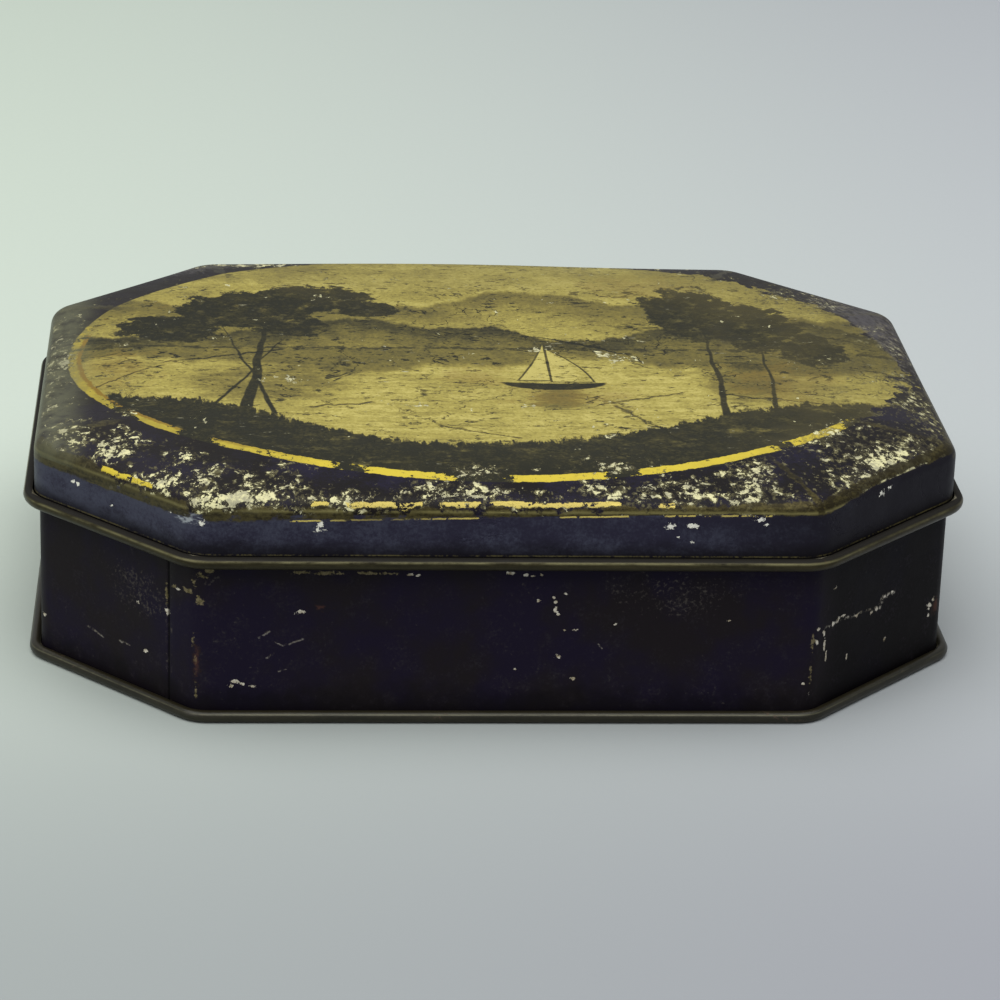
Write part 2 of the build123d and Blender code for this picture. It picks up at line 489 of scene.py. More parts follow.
class Surface:
    """A material in the making, with places in millimetres in the object's own frame."""

    def __init__(self, name):
        self.material = bpy.data.materials.new(name)
        self.material.use_nodes = True
        self.tree = self.material.node_tree
        self.shader = self.tree.nodes["Principled BSDF"]
        self.place = self.node("ShaderNodeVectorMath", operation="SCALE").outputs[0]
        place = self.node("ShaderNodeTexCoord").outputs["Object"]
        self.feed(self.place.node.inputs[0], place)
        self.place.node.inputs["Scale"].default_value = 1 / MM
        parts = self.node("ShaderNodeSeparateXYZ")
        self.feed(parts.inputs[0], self.place)
        self.x, self.y, self.z = [Field(self, socket) for socket in parts.outputs]

    def node(self, kind, **settings):
        node = self.tree.nodes.new(kind)
        for name, value in settings.items():
            setattr(node, name, value)
        return node

    def feed(self, socket, value):
        """Links a field or socket to a socket, or sets the socket's own value."""
        if isinstance(value, Field):
            value = value.socket
        if isinstance(value, bpy.types.NodeSocket):
            self.tree.links.new(value, socket)
        else:
            socket.default_value = value

    def fed(self, node, values):
        for socket, value in zip(node.inputs, values):
            self.feed(socket, value)
        return node

    def math(self, operation, *values):
        node = self.fed(self.node("ShaderNodeMath", operation=operation), values)
        return Field(self, node.outputs[0])

    def vector(self, operation, *values):
        node = self.fed(self.node("ShaderNodeVectorMath", operation=operation), values)
        return node.outputs[0]

    def measure(self, operation, *values):
        """A length or a dot product, as a field."""
        return Field(self, self.vector(operation, *values).node.outputs["Value"])

    def noise(self, size, detail=3.0, roughness=0.5, stretch=(1, 1, 1), turn=0, seed=0, warp=0):
        """Noise about 0, with lumps size millimetres wide, stretched after a turn in plan."""
        mapping = self.node("ShaderNodeMapping", vector_type="TEXTURE")
        self.feed(mapping.inputs["Vector"], self.place)
        mapping.inputs["Location"].default_value = (seed * 31.7, seed * 17.3, seed * 5.9)
        mapping.inputs["Rotation"].default_value = (0, 0, radians(turn))
        mapping.inputs["Scale"].default_value = [size * part for part in stretch]
        node = self.node("ShaderNodeTexNoise")
        self.feed(node.inputs["Vector"], mapping.outputs[0])
        settings = {"Scale": 1, "Detail": detail, "Roughness": roughness, "Distortion": warp}
        for name, value in settings.items():
            node.inputs[name].default_value = value
        return Field(self, node.outputs[0]) - 0.5

    def blobs(self, rows):
        """1 at each row's x, y and z, 0 at its reach in x, y and z, where reach 0 is endless."""
        nearest = None
        for row in rows:
            shares = [1 / part if part else 0 for part in row[3:]]
            shift = [-part * share for part, share in zip(row, shares)]
            gap = self.measure("LENGTH", self.vector("MULTIPLY_ADD", self.place, shares, shift))
            nearest = gap if nearest is None else nearest.least(gap)
        return 1 - nearest

    def plan_blobs(self, rows):
        """Blobs through every height: x, y, and the reach in x and y."""
        return self.blobs([(x, y, 0, wide, deep, 0) for x, y, wide, deep in rows])

    def front_chips(self, rows, outset=0.0):
        """Small blobs on the front sides: x, height, and the reach along and up the side."""
        return self.blobs(
            [(*front_place(x, z, outset), along, along, up) for x, z, along, up in rows]
        )

    def scratch(self, start, end, half, wander):
        """1 along a fine line between two places, which a field makes wander."""
        start = Vector(start)
        along = Vector(end) - start
        across = along.cross((0, 0, 1)) if along.z == 0 else along.cross((0, 1, 0))
        apart = self.vector("SUBTRACT", self.place, start)
        share = self.measure("DOT_PRODUCT", apart, along / along.length_squared)
        off = self.measure("DOT_PRODUCT", apart, across.normalized()) + wander
        return off.band(0, half, half) * share.ease(0, 0.06) * share.ease(1, 0.9)

    def mix(self, share, first, second):
        """The first colour where share is 0 and the second where it is 1."""
        node = self.node("ShaderNodeMix", data_type="RGBA")
        self.feed(node.inputs["Factor"], share)
        for name, colour in (("A", first), ("B", second)):
            self.feed(node.inputs[name], srgb(*colour) if isinstance(colour, tuple) else colour)
        return node.outputs["Result"]

    def ramp(self, value, stops, interpolation="LINEAR"):
        """Colours along a value from 0 to 1."""
        node = self.node("ShaderNodeValToRGB")
        self.feed(node.inputs[0], value)
        node.color_ramp.interpolation = interpolation
        elements = node.color_ramp.elements
        while len(elements) < len(stops):
            elements.new(0.5)
        for element, (at, colour) in zip(elements, stops):
            element.position = at
            element.color = srgb(*colour)
        return node.outputs[0]

    def within(self, value, spans):
        """1 where the value lies in one of the spans, 0 between them."""
        low = spans[0][0] - 1
        length = spans[-1][1] + 1 - low
        stops = [(0, (0, 0, 0))]
        for start, end in spans:
            stops.append(((start - low) / length, (255, 255, 255)))
            stops.append(((end - low) / length, (0, 0, 0)))
        return Field(self, self.ramp((value - low) / length, stops, "CONSTANT"))

    def set(self, **values):
        """Sets or links the shader's sockets, named with underscores for spaces."""
        for name, value in values.items():
            self.feed(self.shader.inputs[name.replace("_", " ")], value)

    def bump(self, height):
        """Raises the surface by a height in millimetres, in shading only."""
        node = self.node("ShaderNodeBump")
        node.inputs["Distance"].default_value = MM
        self.feed(node.inputs["Height"], height)
        self.set(Normal=node.outputs[0])

    def inset(self):
        """How far a place lies inside the wall's outline, square to the nearest side."""
        x, y = abs(self.x), abs(self.y)
        square = (half_length - x).least(half_width - y)
        corner = (half_length + half_width - corner_cut - x - y) * sqrt(0.5)
        return square.least(corner)

    def hips(self):
        """Distance from the nearest of the eight creases that run in from the corners."""
        x, y = abs(self.x), abs(self.y)
        short, long = sin(pi / 8), cos(pi / 8)
        front = (x - (half_length - corner_cut)) * long - (y - half_width) * short
        side = (x - half_length) * short - (y - (half_width - corner_cut)) * long
        return abs(front).least(abs(side))


# Colours of the print, its undercoat and the worn steel, some also used for painted highlight and
# shade, in screen values from 0 to 255
navy = (27, 24, 42)
navy_dark = (20, 17, 17)
undercoat = (206, 202, 156)
undercoat_grey = (150, 147, 122)
chalk = (232, 230, 216)
olive = (82, 75, 43)
olive_highlight = (126, 119, 75)
olive_dark = (43, 38, 22)
gold = (190, 171, 58)
gold_dull = (140, 126, 52)
gold_pale = (196, 178, 96)
rust = (70, 38, 18)

# Oval picture on the lid
oval_reach = (110.0, 89.0)
oval_middle_y = 6.7
ring_width = 3.5
sepia = [(0, (34, 34, 25)), (0.25, (66, 62, 38)), (0.6, (114, 104, 54))]
sepia += [(0.85, (152, 141, 73)), (1, (174, 163, 94))]

# Lowest height of the worn ridge round the lid's shoulder
ridge_foot = 54.5


def picture(s):
    """Tone of a lake among hills and trees, from 0 for ink to 1 for the pale ground."""
    u = s.x
    v = s.y - oval_middle_y
    leaves = s.noise(7, 7, 0.7, seed=3)
    ragged = s.noise(9, 5, 0.62, stretch=(1, 1000, 1), seed=5)
    soft = s.noise(30, 5, 0.6, stretch=(1.7, 0.7, 1), seed=1)

    def lay(tone, mask, over):
        return tone + (over - tone) * mask

    tone = soft * 0.7 + 0.86

    far_ridge = (u * 0.042 + 0.9).sine() * 8 + (u * 0.117).sine() * 3.5 + ragged * 16 + 42
    far_tone = (far_ridge - v) * 0.013 + 0.45 + soft * 0.4
    tone = lay(tone, (far_ridge - v).ease(-2.0, 2.0), far_tone.least(0.8))

    near_ridge = (u * 0.055 + 3.3).sine() * 6 + (u * 0.15 + 1).sine() * 2 + ragged * 16 + 21
    near_tone = (near_ridge - v) * 0.02 + 0.18 + leaves * 0.6
    tone = lay(tone, (near_ridge - v).ease(-1.0, 1.6), near_tone.least(0.6))

    shore = 5.0
    ripples = s.noise(5, 5, 0.65, stretch=(5, 0.5, 1), seed=8)
    water = 0.86 + ripples * 0.7 + soft * 0.3
    mirrored = (near_ridge - shore) * 0.8 - (shore - v)
    water = water - mirrored.ease(-3, 4) * (0.4 + ripples * 0.6)
    reflected = [(-58, oval_middle_y - 22, 30, 20), (67, oval_middle_y - 20, 15, 20)]
    mirrored_trees = s.plan_blobs(reflected)
    water = water - (mirrored_trees + ripples * 1.6).ease(0.1, 0.6) * 0.34
    tone = lay(tone, (shore - v).ease(-0.3, 0.4), water)
    reeds = s.noise(3.5, 4, 0.7, stretch=(1, 0.5, 1), seed=11) * 9 + 1.0
    tone = lay(tone, (reeds - abs(v - shore - 0.6)).ease(0, 0.8), 0.18)

    crowns = [
        (-64, 36, 22, 17), (-46, 46, 19, 13), (-84, 20, 14, 12), (-50, 22, 11, 8),
        (-30, 38, 10, 8), (58, 36, 15, 24), (74, 24, 14, 22), (88, 6, 10, 14),
    ]
    trees = s.plan_blobs([(x, y + oval_middle_y, *reach) for x, y, *reach in crowns])
    crown = (trees + leaves * 1.5 - 0.08).ease(0, 0.1)
    crown_tone = s.noise(4.5, 6, 0.72, seed=14).ease(0, 0.2) * 0.36 + 0.02
    tone = lay(tone, crown, crown_tone)
    bend = s.noise(26, 2, 0.5, stretch=(1000, 1, 1), seed=15) * 5
    trunks = [(-60, 0.08, 2), (-65, -0.2, 0.9), (-58, 0.34, 0.8), (60, 0.02, 1.2), (74, 0.04, 0.9)]
    for foot, lean, width in trunks:
        taper = width - (v + 44) * width * 0.009
        trunk = taper - abs(u - v * lean - foot - bend)
        upright = v.ease(-50, -44) * v.ease(30, 22)
        tone = lay(tone, (trunk + leaves * 0.7).ease(0, 0.5) * upright, 0.03)

    grass = s.noise(2.2, 5, 0.7, stretch=(1, 4, 1), seed=17) * 16
    bank = abs(u).ease(8, 84) * 34 + (u * 0.05 + 0.9).sine() * 3 + grass - 67
    bank_tone = s.noise(5, 6, 0.72, stretch=(1.8, 1, 1), seed=19).ease(0.02, 0.22)
    tone = lay(tone, (bank - v).ease(-0.5, 1.5), bank_tone * 0.4 + 0.05)

    # Sailing boat on the lake
    mast, deck = 16.0, -21.0
    abaft = u - mast
    up = v - deck
    leech = abaft + up * up * 0.012 + up * 0.1
    main_sail = (abaft - 0.2).least(up - 1.5).least(11 - leech)
    luff = up * 0.42 - abaft - up * up * 0.004
    fore_sail = (-0.4 - abaft).least(up - 2.5).least(9.5 - luff)
    sails = main_sail.most(fore_sail).least(30 - up)
    hull = s.plan_blobs([(mast + 0.5, deck + oval_middle_y + 0.5, 14, 5.5)])
    hull = (hull * 4 + leaves * 0.3).least(abaft * abaft * 0.004 + 0.3 - up).ease(0, 0.4)
    mirrored_boat = s.plan_blobs([(mast + 1, deck + oval_middle_y - 11, 11, 12)])
    tone = lay(tone, (mirrored_boat + ripples * 2.2).ease(0.2, 0.6) * 0.6, 0.34)
    tone = lay(tone, (sails + leaves * 0.5).ease(-0.7, -0.3), 0.25)
    tone = lay(tone, (sails + leaves * 0.5).ease(-0.1, 0.2), 1.02 - abaft.ease(2, 9) * 0.14)
    return lay(tone, hull, 0.04)


# Long cracks in the picture, with half their width, and its brown stains
picture_cracks = [
    ((-86, -1), (-52, 12), 0.4), ((-104, -20), (-84, -2), 0.3),
    ((-48, -34), (-30, -30), 0.5), ((14, 22), (40, 8), 0.4), ((30, -30), (46, -58), 0.45),
    ((58, -22), (88, -30), 0.35), ((20, -34), (52, -20), 0.35),
    ((-16, -46), (6, -56), 0.35),
]
picture_stains = [
    (-4, -10, 15, 12), (20, -24, 30, 16), (78, -12, 24, 30), (-70, 44, 24, 14),
    (46, 66, 34, 16), (-96, -6, 16, 26),
]

# Patches where the print has flaked off the lid, in plan
flaked = [
    (-107, -50, 8, 12), (-99, -55, 7, 9), (-94, -60, 9, 13), (-78, -67, 9, 10),
    (-83, -80, 7, 8), (-73, -79, 8, 15), (-62, -84, 8, 10), (-53, -82, 9, 14),
    (-62, -90, 34, 4), (-19, -85, 9, 8), (-9, -87, 11, 7), (23, -85, 9, 8),
    (42, -84, 15, 11), (61, -80, 14, 15), (-8, -76, 11, 5), (27, -74, 9, 6),
    (95, -63, 26, 28), (110, -20, 10, 44), (-114, 5, 9, 60), (-54, -13, 11, 6),
    (-20, -32, 8, 4), (14, 12, 9, 5), (34, 4, 10, 10), (38, 20, 10, 5), (-94, -36, 5, 8),
    (98, 62, 20, 22), (112, 28, 8, 26), (40, 92, 60, 7), (-70, 88, 40, 8),
]

# Dusty parts of the lid, and parts scoured along the diagonal
dusty = [(106, 38, 26, 56), (20, 94, 130, 9), (-84, 84, 24, 9)]
scoured = [(110, -34, 15, 34), (113, 10, 12, 50), (102, 62, 22, 28)]

# Stretches along x where the gold lines are left, on the front half
ring_left = [
    (-112, -98), (-92.5, -80.4), (-71.7, -59.2), (-57.2, -41.5), (-36.6, -15.3), (0.9, 24),
    (30.9, 67.5), (72.4, 87.5),
]
upper_line_left = [
    (-99, -92.7), (-91.7, -86.8), (-48.3, -45), (-39.7, -27.4), (-26.3, -22.3),
    (-16.9, -7.9), (-5.4, 16.5), (17.6, 25.6), (35.5, 39.6),
]
lower_line_left = [
    (-53, -46), (-44, -31), (-29, -24.5), (-23, -8), (-6, -3.8), (11.9, 27.2), (36.2, 54.4),
    (56.1, 58.6), (61, 63.5),
]

# Chips in the skirt: rows for front_chips, and elsewhere for blobs
skirt_chips = [
    (-46.2, 50.4, 2, 1.5), (-45.8, 52, 1.4, 1.6), (38.7, 52.1, 2, 1.4),
    (44.1, 52.2, 1.9, 1.3), (40.8, 49.2, 1, 0.6), (44.3, 47.9, 0.8, 0.6),
    (60.5, 53.8, 2.2, 1.4), (62, 52.6, 1.6, 1), (93.2, 54.2, 2.2, 1.4),
    (95.4, 54.8, 1.8, 1.2), (-106.1, 51.1, 1.3, 0.9), (-104.9, 51, 1.2, 0.8),
    (-96.3, 48.7, 1.2, 0.8), (-96.6, 53.4, 1.4, 1), (-81.7, 53.2, 1.6, 1),
    (-74, 52.4, 1.8, 1.2),
]
far_skirt_chips = [
    (30, 92.4, 50, 2.6, 2.6, 1.8), (-52, 92.4, 52, 2.2, 2.2, 1.4),
    (116.4, 8, 51, 2.2, 2.2, 1.4), (-116.4, 30, 50, 1.9, 1.9, 1.3),
]


def printed_tin():
    """The lid's outside: blue border, oval picture in a gold ring, worn down to the steel."""
    s = Surface("printed_tin")
    inset = s.inset()
    hips = s.hips()
    fine = s.noise(1.0, 5, 0.7, seed=21)
    patch = s.noise(14, 3, 0.5, seed=23)
    grime = s.noise(5, 6, 0.68, seed=25)
    wander = s.noise(8, 5, 0.65, seed=27)
    front = s.y.ease(-10, -64)
    back = s.y.ease(30, 80)
    right = s.x.ease(30, 95)
    left = s.x.ease(-30, -100)

    a, b = oval_reach
    apart = s.vector("SUBTRACT", s.place, (0, oval_middle_y, 0))
    share = s.measure("LENGTH", s.vector("MULTIPLY", apart, (1 / a, 1 / b, 0)))
    steep = s.measure("LENGTH", s.vector("MULTIPLY", apart, (1 / a**2, 1 / b**2, 0)))
    outside = (share - 1) * share / steep

    # Picture, stained, speckled and cracked
    specks = s.noise(1.9, 5, 0.68, stretch=(1.8, 1, 1), seed=31)
    specks = (specks + wander * 0.4).ease(0.1, 0.14)
    cracks = s.noise(26, 5, 0.62, stretch=(1.6, 1, 1), seed=35, warp=0.5)
    cracks = abs(cracks).ease(0.007, 0.002) * (patch + grime * 0.6).ease(-0.05, 0.1)
    for start, end, half in picture_cracks:
        line = s.scratch((*start, dome_top), (*end, dome_top), half, wander * 6)
        cracks = cracks.most(line * grime.ease(-0.16, -0.02))
    tone = picture(s) + grime * 0.55 + fine * 0.6
    dashes = s.noise(1.1, 4, 0.7, stretch=(2.6, 1, 1), turn=-8, seed=33) + patch * 0.2
    tone = tone - dashes.ease(0.09, 0.15) * 0.3 - specks * 0.5 - cracks * 0.6
    tone = tone - share.ease(0.72, 1.02) * 0.06
    colour = s.ramp(tone, sepia)
    stains = (s.plan_blobs(picture_stains) + grime * 2.4).ease(0.2, 0.9)
    colour = s.mix(stains * tone.ease(0.15, 0.6) * 0.36, colour, (98, 72, 34))
    ends = patch * 0.8 + right * 0.4 - left * 0.2 + back * 0.5
    colour = s.mix(ends.ease(0.0, 0.7) * 0.46, colour, (88, 80, 48))

    nicks = s.noise(1.1, 4, 0.62, stretch=(3.6, 0.9, 1), seed=37) + wander * 0.5
    nicks = nicks.ease(0.2, 0.23) * (patch + tone.ease(0.7, 0.2) * 0.14).ease(0.02, 0.12)
    colour = s.mix(nicks * 0.6, colour, undercoat_grey)

    # Border and ring
    border = s.mix((patch + fine * 0.6).ease(-0.12, 0.2), navy_dark, navy)
    border = s.mix((1 - front * (1 - left * 0.5)) * 0.7, border, (42, 39, 36))
    frayed = fine * 0.6 + wander * right * 26
    colour = s.mix((outside + frayed).ease(-0.15, 0.15), colour, border)
    torn = s.noise(2.4, 6, 0.72, stretch=(1.4, 1.4, 1), seed=43)
    on_ring = (outside + torn * 2.2).band(-ring_width / 2, ring_width / 2, 0.15)
    ring_kept = s.within(s.x + wander * 4 + torn * 22, ring_left)
    ring_kept = ring_kept * (torn + grime * 0.6 + s.y.ease(0, 60) * 0.5).ease(0.19, 0.14)
    ring_colour = s.mix(left * 0.9 + grime * 1.6 + right * 0.35, gold, gold_dull)
    inner_half = (outside + torn * 3).ease(-0.55 * ring_width, -0.75 * ring_width)
    ring_colour = s.mix(inner_half * left * 0.8, ring_colour, (112, 84, 32))
    colour = s.mix(on_ring * ring_kept, colour, ring_colour)

    # Skirt, below the worn ridge, which climbs from left to right
    rise = (s.x.ease(-100, 60) * 2.4 + s.x.ease(76, 92) * 1.7 - 1.9) * front
    skirt = (s.z - rise.most(0)).ease(ridge_foot + 0.2, ridge_foot - 0.2)
    rub = s.noise(10, 6, 0.68, stretch=(1.5, 1.5, 0.8), seed=53)
    mottle = s.noise(0.8, 4, 0.75, seed=55)
    # Rubbed patches and mottle, with painted light on the skirt's left end and painted shade on
    # its right end
    rub_and_side_light = rub + left * 0.14 - right * 0.12 + mottle * 0.7
    skirt_colour = s.mix(rub_and_side_light.ease(-0.14, 0.26), (40, 38, 54), (63, 65, 80))
    # Painted shade on the skirt, deepening towards the rolled edge below it
    shade_near_curl = (s.z + rub * 7).ease(skirt_foot + 5, skirt_foot)
    skirt_colour = s.mix(shade_near_curl * 0.75, skirt_colour, (14, 12, 14))
    # Painted shade on the skirt's right end
    skirt_colour = s.mix(right * 0.8, skirt_colour, (16, 14, 16))
    colour = s.mix(skirt, colour, skirt_colour)
    foot_line = s.z.band(skirt_foot + 0.11, 0.16, 0.1) * (rub + mottle).ease(-0.12, 0.1)
    colour = s.mix(foot_line * 0.8, colour, (98, 91, 55))
    # Painted shade inside the rolled edge, seen through the gap by the skirt
    colour = s.mix(s.z.ease(skirt_foot - 0.09, skirt_foot - 0.24), colour, (12, 10, 8))
    rubbed = s.noise(0.9, 5, 0.7, stretch=(3, 3, 0.8), seed=57)
    bruise = (s.blobs([(-78, -90, 53, 6, 5, 2)]) + rubbed * 4).ease(0.3, 1.0)
    colour = s.mix(bruise * 0.85, colour, (160, 166, 170))

    # Flakes down to the pale undercoat
    lace = s.noise(1.9, 6, 0.66, stretch=(1.3, 1.7, 1), seed=61, warp=0.4)
    streaks = s.noise(1.0, 5, 0.66, stretch=(3, 1, 1), turn=-66, seed=62)
    scour = s.plan_blobs(scoured).ease(0.0, 0.6)
    lace = lace + (streaks - lace) * scour * 0.8
    cluster = s.noise(12, 4, 0.6, seed=63)
    dense = s.plan_blobs(flaked).ease(-0.2, 0.9) * 0.142 + cluster * 0.4 - scour * 0.03
    dense = dense + inset.ease(12, 2) * front * 0.045 + left * front * 0.008
    bare = (lace + dense).ease(0.193, 0.208)
    flecks = s.noise(1.2, 6, 0.72, stretch=(1, 1.6, 1), seed=65)
    bare = bare.most((flecks + dense * 0.9).ease(0.23, 0.245)) * (1 - skirt)
    stripped = (lace * 0.5 + flecks * 0.7 + dense + right * 0.03).ease(0.1, 0.15)
    stripped = stripped * (1 - skirt) * inset.ease(34, 18)
    smear = (lace + grime * 0.6).ease(-0.06, 0.16)
    colour = s.mix(stripped * 0.8, colour, s.mix(smear, (48, 44, 32), (106, 101, 70)))
    knocked = s.front_chips(skirt_chips, lid_outset).most(s.blobs(far_skirt_chips))
    knocked = (knocked + fine * 2.8 + torn * 2).ease(0.52, 0.62)
    paler = fine + grime + left * 0.1 - left * (1 - front) * 0.16
    chip_colour = s.mix(paler.ease(-0.15, 0.2), undercoat_grey, undercoat)
    colour = s.mix(bare * (1 - scour * 0.2), colour, chip_colour)
    colour = s.mix(knocked, colour, chalk)

    # Shoulder and hips worn to brown steel, with a painted highlight along the ridge and the gold
    # lines beside them
    drag = s.noise(2.2, 6, 0.7, stretch=(5, 5, 0.6), seed=47)
    corner = right * front
    near = inset.ease(12, 0)
    low = (s.z + drag * 2 + torn * 1.5 - rise).ease(ridge_foot - 0.2, ridge_foot + 0.3)
    reach = s.x.ease(25, 75) * 1.8 + s.x.ease(-94, -106) * 1.4 + s.x.ease(78, 92) * 1.4 - 0.85
    high = inset + wander * 4 + torn * (2.5 + corner * 2) - reach * front
    hip_wear = hips + (wander * 8 + torn * 3) * (1 - corner * 0.6) - near * corner * 0.7
    hip_wear = hip_wear.ease(1.7 - corner * 0.7, 0.9 - corner * 0.4)
    hip_wear = hip_wear * (inset + patch * 20 - corner * 6).ease(24, 12)
    hip_wear = hip_wear * (grime + 0.08 + corner * 0.1 - left * front * 0.1).ease(-0.06, 0.04)
    hip_wear = hip_wear * s.z.ease(ridge_foot - 0.5, ridge_foot + 1.5)
    hip_wear = hip_wear * (1 - s.x.ease(96, 102) * front * 0.7)
    worn = (low * high.ease(0.2, -0.3)).most(hip_wear)
    mixed = drag + fine * 0.9 + torn * 0.7 + grime * hip_wear
    worn_colour = s.mix((mixed - corner * 0.18).ease(-0.22, 0.18), olive_dark, olive)
    # Painted highlight along the crest of the worn ridge
    crest_highlight = s.z.band(ridge_foot + 0.9, 0.25, 0.45) * (1 - hip_wear)
    worn_colour = s.mix(crest_highlight * (drag + 0.4).ease(0, 0.5), worn_colour, olive_highlight)
    worn_colour = s.mix(back * 0.6 + left * 0.3, worn_colour, (58, 56, 50))
    colour = s.mix(worn * 0.96, colour, worn_colour)
    upper = (inset + wander * 0.8 + torn * 1.8).band(-0.15, 0.42, 0.1) * front
    upper = upper * s.within(s.x + wander * 3 + torn * 9, upper_line_left)
    upper = upper * (torn + drag * 0.8 + fine * 0.5).ease(0.1, 0.07)
    colour = s.mix(upper, colour, s.mix(left, gold_pale, gold))
    lower = (s.z - rise + fine * 0.5).band(ridge_foot - 0.2, 0.2, 0.08)
    lower = lower * s.y.ease(-92, -92.2) * (grime + torn * 0.7).ease(0.07, 0.04)
    lower = lower * s.within(s.x + torn * 9, lower_line_left)
    colour = s.mix(lower, colour, gold_pale)
    bare = bare * (1 - worn)

    rusty = (s.noise(9, 7, 0.72, seed=67) + cluster * 0.3).ease(0.24, 0.3) * 0.7
    colour = s.mix(rusty, colour, rust)
    dust = s.plan_blobs(dusty) + streaks * 2.6 + grime
    dust = dust.ease(0.2, 1.0) * outside.ease(-1, 1)
    colour = s.mix(dust * 0.46, colour, (95, 92, 94))
    hazy = s.x.ease(-101, -112) * (grime + 0.3).ease(0, 0.4) * (1 - skirt)
    colour = s.mix(hazy * 0.62, colour, (100, 101, 80))

    s.set(Base_Color=colour, Metallic=worn * 0.4, Specular_IOR_Level=0.1)
    s.set(Roughness=bare * 0.25 + grime * 0.35 + 0.48 - worn * 0.08)
    s.bump(bare * -0.06 + fine * 0.03 + grime * 0.06 + worn * grime * 0.05 - cracks * 0.06)
    return s.material


# Marks on the wall: chips for front_chips, and the rest for blobs
wall_chips = [
    (-114.2, 11.1, 1.4, 0.9), (-89.9, 24.9, 0.9, 0.6), (-88, 12.7, 1.2, 0.8),
    (-82.6, 25.6, 1.3, 1.1), (-79.9, 32.8, 1.2, 0.6), (-50.2, 28.6, 1.7, 0.9),
    (-67.2, 8.9, 1.2, 0.7), (-66, 10.1, 1.6, 0.6), (-64.3, 9.5, 1.1, 0.5),
    (-61.8, 8.8, 1.3, 0.6), (-23.6, 38.4, 1.5, 0.6), (-22, 38.3, 1.3, 0.5),
    (0.5, 39, 1.9, 0.7), (4.5, 38.6, 1.1, 0.6), (5.9, 38.3, 1.3, 0.5),
    (7.9, 38.6, 0.9, 0.6), (7.7, 31.7, 1.1, 0.8), (12.1, 31.6, 0.9, 0.9),
    (14.2, 33.7, 0.8, 0.5), (11.3, 32.6, 0.8, 0.6), (11.9, 29.4, 0.9, 1.2),
    (12.7, 28.2, 0.8, 0.6), (14.3, 24.1, 0.9, 0.4), (16.8, 24.1, 1.2, 0.5),
    (26.7, 25.6, 0.9, 0.7), (54.6, 26.6, 0.9, 0.6), (13, 17, 1.2, 0.7),
    (2.6, 13.5, 0.7, 0.5), (16.7, 11.1, 1, 0.8), (88.6, 22.6, 1.4, 0.8), (81.4, 23.3, 1, 1),
    (83, 24, 0.8, 1), (84.5, 24.3, 1.6, 0.5), (93.3, 21.1, 1.3, 0.7), (95, 21.6, 0.9, 0.9),
    (96.1, 23.4, 0.5, 1.2), (97.2, 24.2, 0.9, 0.7), (99.4, 24.3, 1.3, 0.6),
    (77, 20.3, 1, 1.2), (79.3, 18.6, 0.8, 2.2), (79.9, 15.6, 0.6, 2.2),
    (78.9, 22.3, 0.8, 1.5), (77.3, 23.8, 0.9, 0.6), (74, 9.6, 1.1, 0.7),
    (81.4, 33, 0.9, 0.7), (97.9, 11.8, 0.8, 1.1), (86.3, 12.3, 0.6, 1.3),
    (111.2, 15.7, 1.7, 1.5), (112.4, 16.9, 0.8, 1.2), (111.1, 12.9, 0.8, 0.8),
]
far_wall_chips = [
    (76, -90.6, 13.4, 0.4, 0.4, 1.6), (76.1, -90.5, 7.2, 0.8, 0.8, 1.2),
    (36, 91, 22, 1.6, 1.6, 1.1), (-44, 91, 30, 2.2, 2.2, 1.4), (-40, 91, 12, 1.2, 1.2, 0.8),
    (115, 24, 18, 1.8, 1.8, 1.2), (-115, -18, 28, 1.6, 1.6, 1.1),
    (-115, 30, 14, 1.2, 1.2, 0.8),
]
wall_smears = [
    (-81, -85.5, 33, 1.6, 1.6, 0.9), (-77.6, -88.9, 33.4, 2.4, 2.4, 1.1),
    (-76.2, -90.8, 35.6, 1.3, 2, 2.2), (-74.4, -91, 38, 2.2, 2, 1.2),
    (-72.2, -91, 39.3, 1.8, 2, 0.8), (-74.8, -91, 31.4, 1.6, 2, 1.8),
    (-50.5, -91, 39, 3.4, 2, 0.7), (-43, -91, 38.8, 6, 2, 0.8),
    (-34.5, -91, 38.8, 5, 2, 0.7), (-28.5, -91, 38.7, 3, 2, 0.6),
    (-76.4, -90.9, 21, 0.9, 2, 2.6), (-75.6, -91, 15, 0.9, 2, 5),
    (-75.6, -91, 7, 0.6, 2, 4), (-82.7, -83.8, 30, 1, 1, 5),
    (76, -90.6, 20.6, 1.2, 1.6, 3.4), (75.8, -90.8, 12, 0.6, 1.6, 5),
]
wall_patches = [
    (-73.5, -91, 37.5, 6, 6, 3.5), (40, -91, 33, 24, 6, 9), (-90, -76, 28, 16, 16, 10),
    (10, 91, 36, 50, 6, 3), (-115, 10, 30, 6, 30, 6), (115, -10, 34, 6, 40, 5),
    (-82.6, -84, 20, 1.2, 1.2, 24),
]
wall_rust = [
    (-45, -91, 29.7, 5, 4, 1.7), (-75.5, -91, 15, 1.8, 3, 10),
    (113.5, -53.5, 15, 2.5, 3, 6), (60, 91, 14, 14, 6, 8), (-115, -20, 8, 6, 16, 5),
]
# Scratches and crazing on the front sides, as x and height
wall_scratches = [
    ((-103.2, 13.1), (-98.5, 11.8), 0.2), ((-95, 12.6), (-91.8, 12.4), 0.16),
    ((-54.3, 19.6), (-49.2, 21.6), 0.2), ((-60.6, 21.7), (-57.4, 23.6), 0.16),
    ((-56.4, 20.9), (-54.3, 19.3), 0.16), ((-58.7, 16.4), (-56.2, 17.4), 0.18),
    ((-55.6, 12.6), (-53.3, 13.5), 0.14), ((22.8, 20.6), (23.9, 19), 0.16),
]
crazed_line = [
    (78.9, 23.3), (83.2, 23.7), (90.5, 22.4), (95.3, 21.4), (96.3, 24.2), (100.4, 24.4),
]


